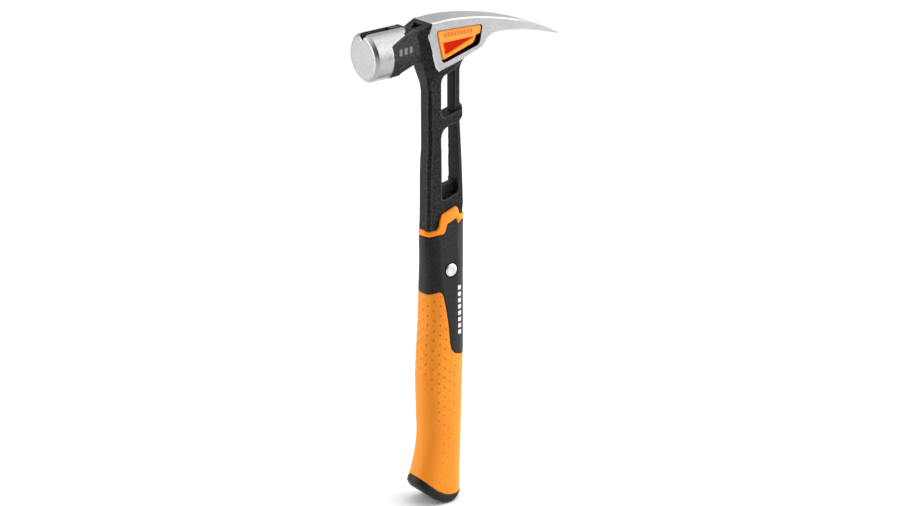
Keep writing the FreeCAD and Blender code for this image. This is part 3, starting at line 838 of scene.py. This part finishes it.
# outlines on the side of the head, as (x, z)
CHEEK = outline(
    smooth_run([(-14.8, 393.3), (6.7, 394.0), (32.5, 391.6), (60.5, 386.1), (87.4, 377.5),
                (105.9, 369.0)], 12),
    smooth_run([(104.9, 367.9), (97.6, 369.9), (81.6, 373.8), (65.9, 376.4), (52.0, 377.5), (42.6, 376.8),
                (37.4, 373.9)]),
    [(33.3, 368.4), (12.9, 360.9), (-5.9, 355.1), (-7.5, 354.6)],
    smooth_run([(-10.4, 357.7), (-14.0, 369.4), (-17.1, 380.4), (-17.5, 385.5), (-14.8, 393.3)], 6))
CHEEK_CHAMFER, TIP_CHAMFER = 0.95, 0.25
POCKET = rounded([(-11.1, 386.8), (32.6, 386.2), (29.8, 370.8), (-4.9, 360.6)], 3.4)
INSERT = rounded(inset_outline([(-11.1, 386.8), (32.6, 386.2), (30.9, 378.2), (27.2, 378.2), (25.3, 372.4),
                                (-2.6, 363.0), (-5.2, 363.0)], 0.5), 3.4)
MARK = rounded([(-4.0, 376.4), (24.0, 377.4), (-1.8, 367.0)], 0.7)
TANG = rounded([(-9.5, 229.0), (12.5, 229.0), (8.5, 140.0), (6.5, 70.0), (3.5, TANG_END), (-4.5, TANG_END),
                (-7.5, 70.0), (-8.0, 140.0)], 1.5)
RIB_COUNT, RIB_PITCH, RIB_START, RIB_WIDTH, RIB_LEAN = 9, 3.0, -3.2, 1.7, 0.2
RIB_LOW, RIB_HIGH = 380.9, 384.2


def inside_outline(points, x, z):
    """Which of the places x, z are inside an outline."""
    result = np.zeros(x.shape, dtype=bool)
    for (x0, z0), (x1, z1) in zip(points, points[1:] + points[:1]):
        if z0 != z1:
            crosses = (z0 > z) != (z1 > z)
            result ^= crosses & (x < (x1 - x0) * (z - z0) / (z1 - z0) + x0)
    return result


def slot_cutter():
    """V between the claws, wider underneath so that its upper edges bite."""
    def vee(z, tip, root):
        return [(112.0, -tip, z), (112.0, tip, z), (62.0, root, z), (58.5, root * 0.4, z),
                (58.5, -root * 0.4, z), (62.0, -root, z)]
    return mesh_of("slot", vee(362.0, 6.6, 2.4) + vee(396.0, 3.9, 1.0), capped_faces(2, 6))


def build_cheeks(steel, paint, edge):
    """Ground steel cheeks and claws in one plate, with chamfered rims, pockets and the nail slot; the
    chamfers take a brighter steel as a painted highlight.
    """
    def chamfer(x, _z):
        return float(np.interp(x, [60.0, 104.0], [CHEEK_CHAMFER, TIP_CHAMFER]))
    small = inset_outline(CHEEK, chamfer)
    full = CHEEK_HALF - CHEEK_CHAMFER
    layers = [(-CHEEK_HALF, small), (-full, CHEEK), (full, CHEEK), (CHEEK_HALF, small)]
    cutters = [mesh_of("pocket", *plate(POCKET, side * POCKET_FLOOR, side * 14.0)) for side in (-1, 1)]
    mesh = bevelled(cut_away(mesh_of("cheeks", *prism(layers)), cutters + [slot_cutter()]), 0.3)
    piece = declare("cheeks_and_claws", "head_and_shank", [steel, paint, edge], mesh,
                    sharp=28.0, flat_faces=True)
    lined = inset_outline(POCKET, -0.2)
    for face in piece.data.polygons:
        x, y, z = (v / MM for v in face.center)
        if abs(y) < CHEEK_HALF - 0.25 and inside_outline(lined, np.array([x]), np.array([z]))[0]:
            face.material_index = 1
        # chamfer faces take the brighter steel: a painted highlight along the rims
        elif 0.3 < abs(face.normal.y) < 0.9 and abs(y) > CHEEK_HALF - 1.2:
            face.material_index = 2
    return piece


def insert_plate():
    """Mesh of one insert for the near side: rounded outline and rim, with a deep triangular recess."""
    rim = 0.8
    body = mesh_of("insert", *prism([(-INSERT_FACE, inset_outline(INSERT, rim)), (-INSERT_FACE + rim, INSERT),
                                     (-POCKET_FLOOR - 0.1, INSERT)]))
    wide = inset_outline(MARK, -0.35)
    recess = prism([(-INSERT_FACE - 2.0, wide), (-INSERT_FACE, wide), (-INSERT_FACE + MARK_DEPTH, MARK)])
    return cut_away(body, [mesh_of("recess", *recess)])


def insert_ribs(side):
    """A row of plain ribs that stand in the face of an insert."""
    ribs = []
    for i in range(RIB_COUNT):
        left = RIB_START + i * RIB_PITCH
        bar = [(left, RIB_LOW), (left + RIB_WIDTH, RIB_LOW), (left + RIB_WIDTH + RIB_LEAN, RIB_HIGH),
               (left + RIB_LEAN, RIB_HIGH)]
        ribs.append(plate(rounded(bar, 0.4, 3), side * (INSERT_FACE - 0.4), side * (INSERT_FACE + 0.13)))
    return join(*ribs)


def insert_bead(points, inset, side, sink, radius):
    """A round bead along an outline on the face of an insert, its middle a little below the face."""
    y = side * (INSERT_FACE - sink)
    return tube([(x, y, z) for x, z in inset_outline(points, inset)], radius)


def build_inserts(material, recess_shade_material, rib_material):
    """Orange inserts, each with its recess floored in deep red painted shade, a bead round it, a border bead
    and a row of plain ribs.
    """
    for node_name, side in (("cheek_insert_right", -1), ("cheek_insert_left", 1)):
        mesh = insert_plate()
        for vertex in mesh.vertices:
            vertex.co.y *= -side
        piece = declare(node_name + "_plate", node_name, [material, recess_shade_material], mesh,
                        sharp=40.0, flat_faces=True)
        # the recess floor takes the deep red, painted shade in the recess
        for face in piece.data.polygons:
            if abs(abs(face.center.y / MM) - (INSERT_FACE - MARK_DEPTH)) < 0.05:
                face.material_index = 1
        ribs = insert_ribs(side)
        make_piece(node_name + "_ribs", node_name, "insert_orange", [rib_material], *ribs, sharp=40.0)
        beads = join(insert_bead(MARK, -0.95, side, 0.08, 0.34), insert_bead(INSERT, 1.3, side, 0.2, 0.42))
        make_piece(node_name + "_beads", node_name, "insert_orange", [material], *beads, sharp=40.0)


def poll_point(u, radius, angle):
    """A place on the tilted poll: u from the face, then out from the axis; angle 0 is up."""
    c, s = math.cos(POLL_TILT), math.sin(POLL_TILT)
    up, across = radius * np.cos(angle), radius * np.sin(angle)
    return np.stack([FACE_CENTRE[0] + u * c - up * s, across, FACE_CENTRE[2] + u * s + up * c], axis=-1)


def poll_place(x, y, z):
    """u, radius and angle of a place, the reverse of poll_point."""
    c, s = math.cos(POLL_TILT), math.sin(POLL_TILT)
    dx, dz = x - FACE_CENTRE[0], z - FACE_CENTRE[2]
    u, up = dx * c + dz * s, -dx * s + dz * c
    return u, np.hypot(up, y), np.arctan2(y, up)


GROOVE_ANGLE = math.atan2(STARTER_HALF, STARTER_FLAT)


def poll_radius(angle):
    """Distance from the poll's axis to its surface: round, with the starter flat and V groove on top."""
    c, s = np.cos(angle), np.abs(np.sin(angle))
    flat = np.where(c > 0.5, STARTER_FLAT / np.maximum(c, 0.5), 99.0)
    vee = (STARTER_FLAT - STARTER_DEPTH) / np.maximum(c - s * STARTER_DEPTH / STARTER_HALF, 0.05)
    inside = (np.abs(angle) < GROOVE_ANGLE) & (c > 0)
    return np.where(inside, vee, np.minimum(POLL_RADIUS - 0.02, flat))


BARE_BACK, BARE_FRONT = 34.0, 15.4  # longest and shortest run of bare steel
CREST_X, CREST_HALF, CREST_TAPER = -53.5, 16.4, 0.27  # the bare top is this wide at this x, and narrows


def bare_length(angle):
    """How far back from the face the bare steel runs at each angle round the poll."""
    y = POLL_RADIUS * np.abs(np.sin(angle))
    crest = np.where(np.cos(angle) > 0, (CREST_HALF - y) / CREST_TAPER + CREST_X - FACE_CENTRE[0], 0.0)
    return np.clip(crest, BARE_FRONT, BARE_BACK - 0.176 * np.clip(y - 6.6, -2.7, 4.6) ** 2)


FACE_ROLL, BACK_ROLL = 0.35, 0.5  # rounding of the face's rim and of the rear edge


def poll_rings(angles):
    """Rings of points over the poll, from the middle of the face to the inside of its rear edge."""
    surface, length = poll_radius(angles), bare_length(angles)
    face_rim = np.minimum(FACE_RADIUS, surface - 0.6)
    chamfer = surface - face_rim - 0.25
    rings = [(0.0, face_rim * share) for share in (0.05, 0.3, 0.6, 0.85)]
    rings += [(FACE_ROLL * turn ** 2, face_rim - FACE_ROLL + 0.45 * turn) for turn in np.linspace(0, 1, 4)]
    rings += [(FACE_ROLL + (FACE_CHAMFER - FACE_ROLL) * share, face_rim + 0.1 + chamfer * share)
              for share in (0.5, 1.0)]
    start, end = FACE_CHAMFER + FACE_ROLL, length - BACK_ROLL
    rings += [(start + (end - start) * share, surface) for share in np.linspace(0, 1, 26)]
    rings += [(end + BACK_ROLL * math.sin(turn), surface - BACK_ROLL * (1 - math.cos(turn)))
              for turn in np.linspace(0, math.pi / 2, 5)[1:]]
    rings += [(length, surface - 2.2), (12.0, np.full(angles.shape, 3.0))]
    return np.array([poll_point(u, radius, angles) for u, radius in rings])


def build_poll(steel, paint):
    """Ground striking poll with a black nail-starter groove and a tongue of bare steel on each side."""
    half = np.concatenate([np.linspace(0, GROOVE_ANGLE, 9), np.linspace(GROOVE_ANGLE, 0.30, 8)[1:],
                           np.linspace(0.30, 1.15, 54)[1:], np.linspace(1.15, math.pi, 80)[1:]])
    angles = np.concatenate([half, -half[1:-1][::-1]])
    rings = poll_rings(angles)
    piece = make_piece("striking_poll", "head_and_shank", "bare_steel", [steel, paint], rings.reshape(-1, 3),
                       capped_faces(len(rings), len(angles)), sharp=28.0)
    for face in piece.data.polygons:
        u, radius, angle = poll_place(*(np.float64(v / MM) for v in face.center))
        if abs(angle) < GROOVE_ANGLE and u > 0.05 and radius > 9.0:
            face.material_index = 1
    return piece


# millimetres a vertex stands out from its neighbours where the painted edge highlight starts, and how much
# more makes it full
EDGE_HIGHLIGHT_START, EDGE_HIGHLIGHT_RANGE = 0.005, 0.012


def sharpness(mesh, co, no):
    """0 on flat or hollow parts of a dense mesh, up to 1 on its outer edges."""
    pairs = np.empty(len(mesh.edges) * 2, dtype=np.int32)
    mesh.edges.foreach_get("vertices", pairs)
    count = np.bincount(pairs, minlength=len(co))
    pairs = pairs.reshape(-1, 2)

    def neighbour_mean(values):
        total = np.zeros_like(values)
        for a, b in ((0, 1), (1, 0)):
            np.add.at(total, pairs[:, a], values[pairs[:, b]])
        return (total.T / np.maximum(count, 1)).T

    bulge = ((co - neighbour_mean(co)) * no).sum(axis=1)
    for _ in range(4):
        bulge = 0.4 * bulge + 0.6 * neighbour_mean(bulge)
    return np.clip((bulge - EDGE_HIGHLIGHT_START) / EDGE_HIGHLIGHT_RANGE, 0.0, 1.0)


def window_wall_shade(co, no):
    """Where painted shade goes: 1 on the inner walls of the shank's windows, fading to 0 at their rims."""
    x, y, z = co.T
    within = (x > -13.0) & (x < 16.5) & (z > 264.0) & (z < 356.0) & (np.abs(no[:, 1]) < 0.75)
    return within * np.clip((6.6 - np.abs(y)) / 1.2, 0.0, 1.0)


CUTS = [((34.0, 0, 0), (1, 0, 0)), ((0, 0, 214.0), (0, 0, -1))]  # planes that end the painted part
VOXEL = 0.42
UNDERCUT = 0.45  # the painted mesh is sunk this much under bare steel


def trimmed_forging():
    """The CAD forging's mesh without the claws and the tang, closed where it is cut."""
    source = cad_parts["head_and_shank"]
    mesh = source.data.copy()
    mesh.transform(source.matrix_world)
    work = bmesh.new()
    work.from_mesh(mesh)
    bmesh.ops.remove_doubles(work, verts=work.verts, dist=2e-6)
    for place_mm, normal in CUTS:
        geometry = list(work.verts) + list(work.edges) + list(work.faces)
        cut = bmesh.ops.bisect_plane(work, geom=geometry, dist=1e-7, plane_co=[v * MM for v in place_mm],
                                     plane_no=normal, clear_outer=True)
        edges = [e for e in cut["geom_cut"] if isinstance(e, bmesh.types.BMEdge)]
        bmesh.ops.holes_fill(work, edges=edges, sides=0)
    bmesh.ops.triangulate(work, faces=work.faces)
    work.to_mesh(mesh)
    work.free()
    return mesh


def softened(mesh):
    """An even, dense copy of a mesh with softly rounded edges."""
    body = loose_object("body", mesh)
    remesh = body.modifiers.new("remesh", "REMESH")
    remesh.mode, remesh.voxel_size, remesh.adaptivity = "VOXEL", VOXEL * MM, 0.0
    soften = body.modifiers.new("soften", "SMOOTH")
    soften.factor, soften.iterations = 0.5, 5
    return take_mesh(body)


def under_steel(x, y, z):
    """Which places are covered by the separate bare steel of the cheeks and the poll."""
    def margin(px, pz):
        return -1.2 if pz > 388.0 and px > -13.0 else -0.15
    u, radius, angle = poll_place(x, y, z)
    poll = (u < bare_length(angle) - 0.15) & ((radius > 8.0) | (u < 3.0)) & (u < 36.0) & (x < -30.0)
    return inside_outline(inset_outline(CHEEK, margin), x, z) | poll


def build_painted(paint):
    """Painted neck, shoulders and shank: the CAD forging refined to softly rounded edges, and the tang."""
    mesh = softened(trimmed_forging())
    count = len(mesh.vertices)
    co, no = np.empty(count * 3), np.empty(count * 3)
    mesh.vertices.foreach_get("co", co)
    mesh.vertex_normals.foreach_get("vector", no)
    co, no = co.reshape(-1, 3) / MM, no.reshape(-1, 3)
    under = under_steel(*co.T)
    co[under] -= no[under] * UNDERCUT
    mesh.vertices.foreach_set("co", (co * MM).reshape(-1))
    mesh.update()
    # the painted edge highlight and the painted shade in the windows, kept on the mesh
    fields = {"edge_highlight": sharpness(mesh, co, no), "inner": window_wall_shade(co, no)}
    work = bmesh.new()
    work.from_mesh(mesh)
    work.from_mesh(mesh_of("tang", *plate(TANG, -TANG_HALF, TANG_HALF, 0.8)))
    work.to_mesh(mesh)
    work.free()
    for name, values in fields.items():
        field = np.zeros(len(mesh.vertices), dtype=np.float32)
        field[:count] = values
        mesh.attributes.new(name, "FLOAT", "POINT").data.foreach_set("value", field)
    return declare("painted_shank", "head_and_shank", [paint], mesh, sharp=180.0)


def build_magnet(material):
    """Small magnet block let into the starter groove."""
    low, high, top_half = STARTER_FLAT - STARTER_DEPTH + 0.45, STARTER_FLAT + 0.25, 3.6
    groove_half = (STARTER_FLAT - low) * STARTER_HALF / STARTER_DEPTH * 0.98
    half = [(0.35, low), (groove_half, STARTER_FLAT - 0.1), (top_half, high)]
    section = half + [(-y, up) for y, up in reversed(half)]
    rings = [poll_point(u, math.hypot(y, up), math.atan2(y, up))
             for u in (MAGNET_START, MAGNET_START + MAGNET_LENGTH) for y, up in section]
    mesh = bevelled(mesh_of("magnet", rings, capped_faces(2, len(section))), 0.12)
    return declare("magnet_block", "nail_starter_magnet", [material], mesh, sharp=40.0)


# ---------------------------------------------------------------- the scene
# colour, roughness, grain size and depth in millimetres, and specular level
ORANGES = {"insert_orange": ((0.92, 0.30, 0.035), 0.36, 0.5, 0.01, 0.4),
           # the recess floor's deep red is painted shade
           "insert_recess_shade": ((0.50, 0.022, 0.0), 0.5, 0.5, 0.01, 0.04),
           "insert_ribs": ((0.60, 0.15, 0.012), 0.4, 0.5, 0.01, 0.3),
           "sleeve_orange": ((0.84, 0.25, 0.006), 0.42, 0.5, 0.01, 0.35),
           "grip_orange": ((0.74, 0.248, 0.011), 0.45, 0.35, 0.02, 0.35)}


def main():
    """Builds the studio and every piece."""
    add_camera()
    add_studio()
    steel = steel_material("bare_steel", speckle=1.0, brush=(0.2, 1.0, 1.0))
    # a brighter copy of the steel, a painted highlight for the chamfers
    edge = steel_material("steel_edge_highlight", speckle=0.7, brush=(0.2, 1.0, 1.0), level=1.5)
    paint = paint_material()
    orange = {name: orange_material(name, *finish, dimple_shade=name == "grip_orange")
              for name, finish in ORANGES.items()}
    build_painted(paint)
    build_poll(steel, paint)
    build_cheeks(steel, paint, edge)
    build_inserts(orange["insert_orange"], orange["insert_recess_shade"], orange["insert_ribs"])
    build_magnet(magnet_material())
    build_collar(orange["sleeve_orange"])
    build_casing(casing_material())
    build_grip(orange["grip_orange"])
    build_cap(nylon_material("cap_black")[0])
    build_rivets(rivet_material())


main()
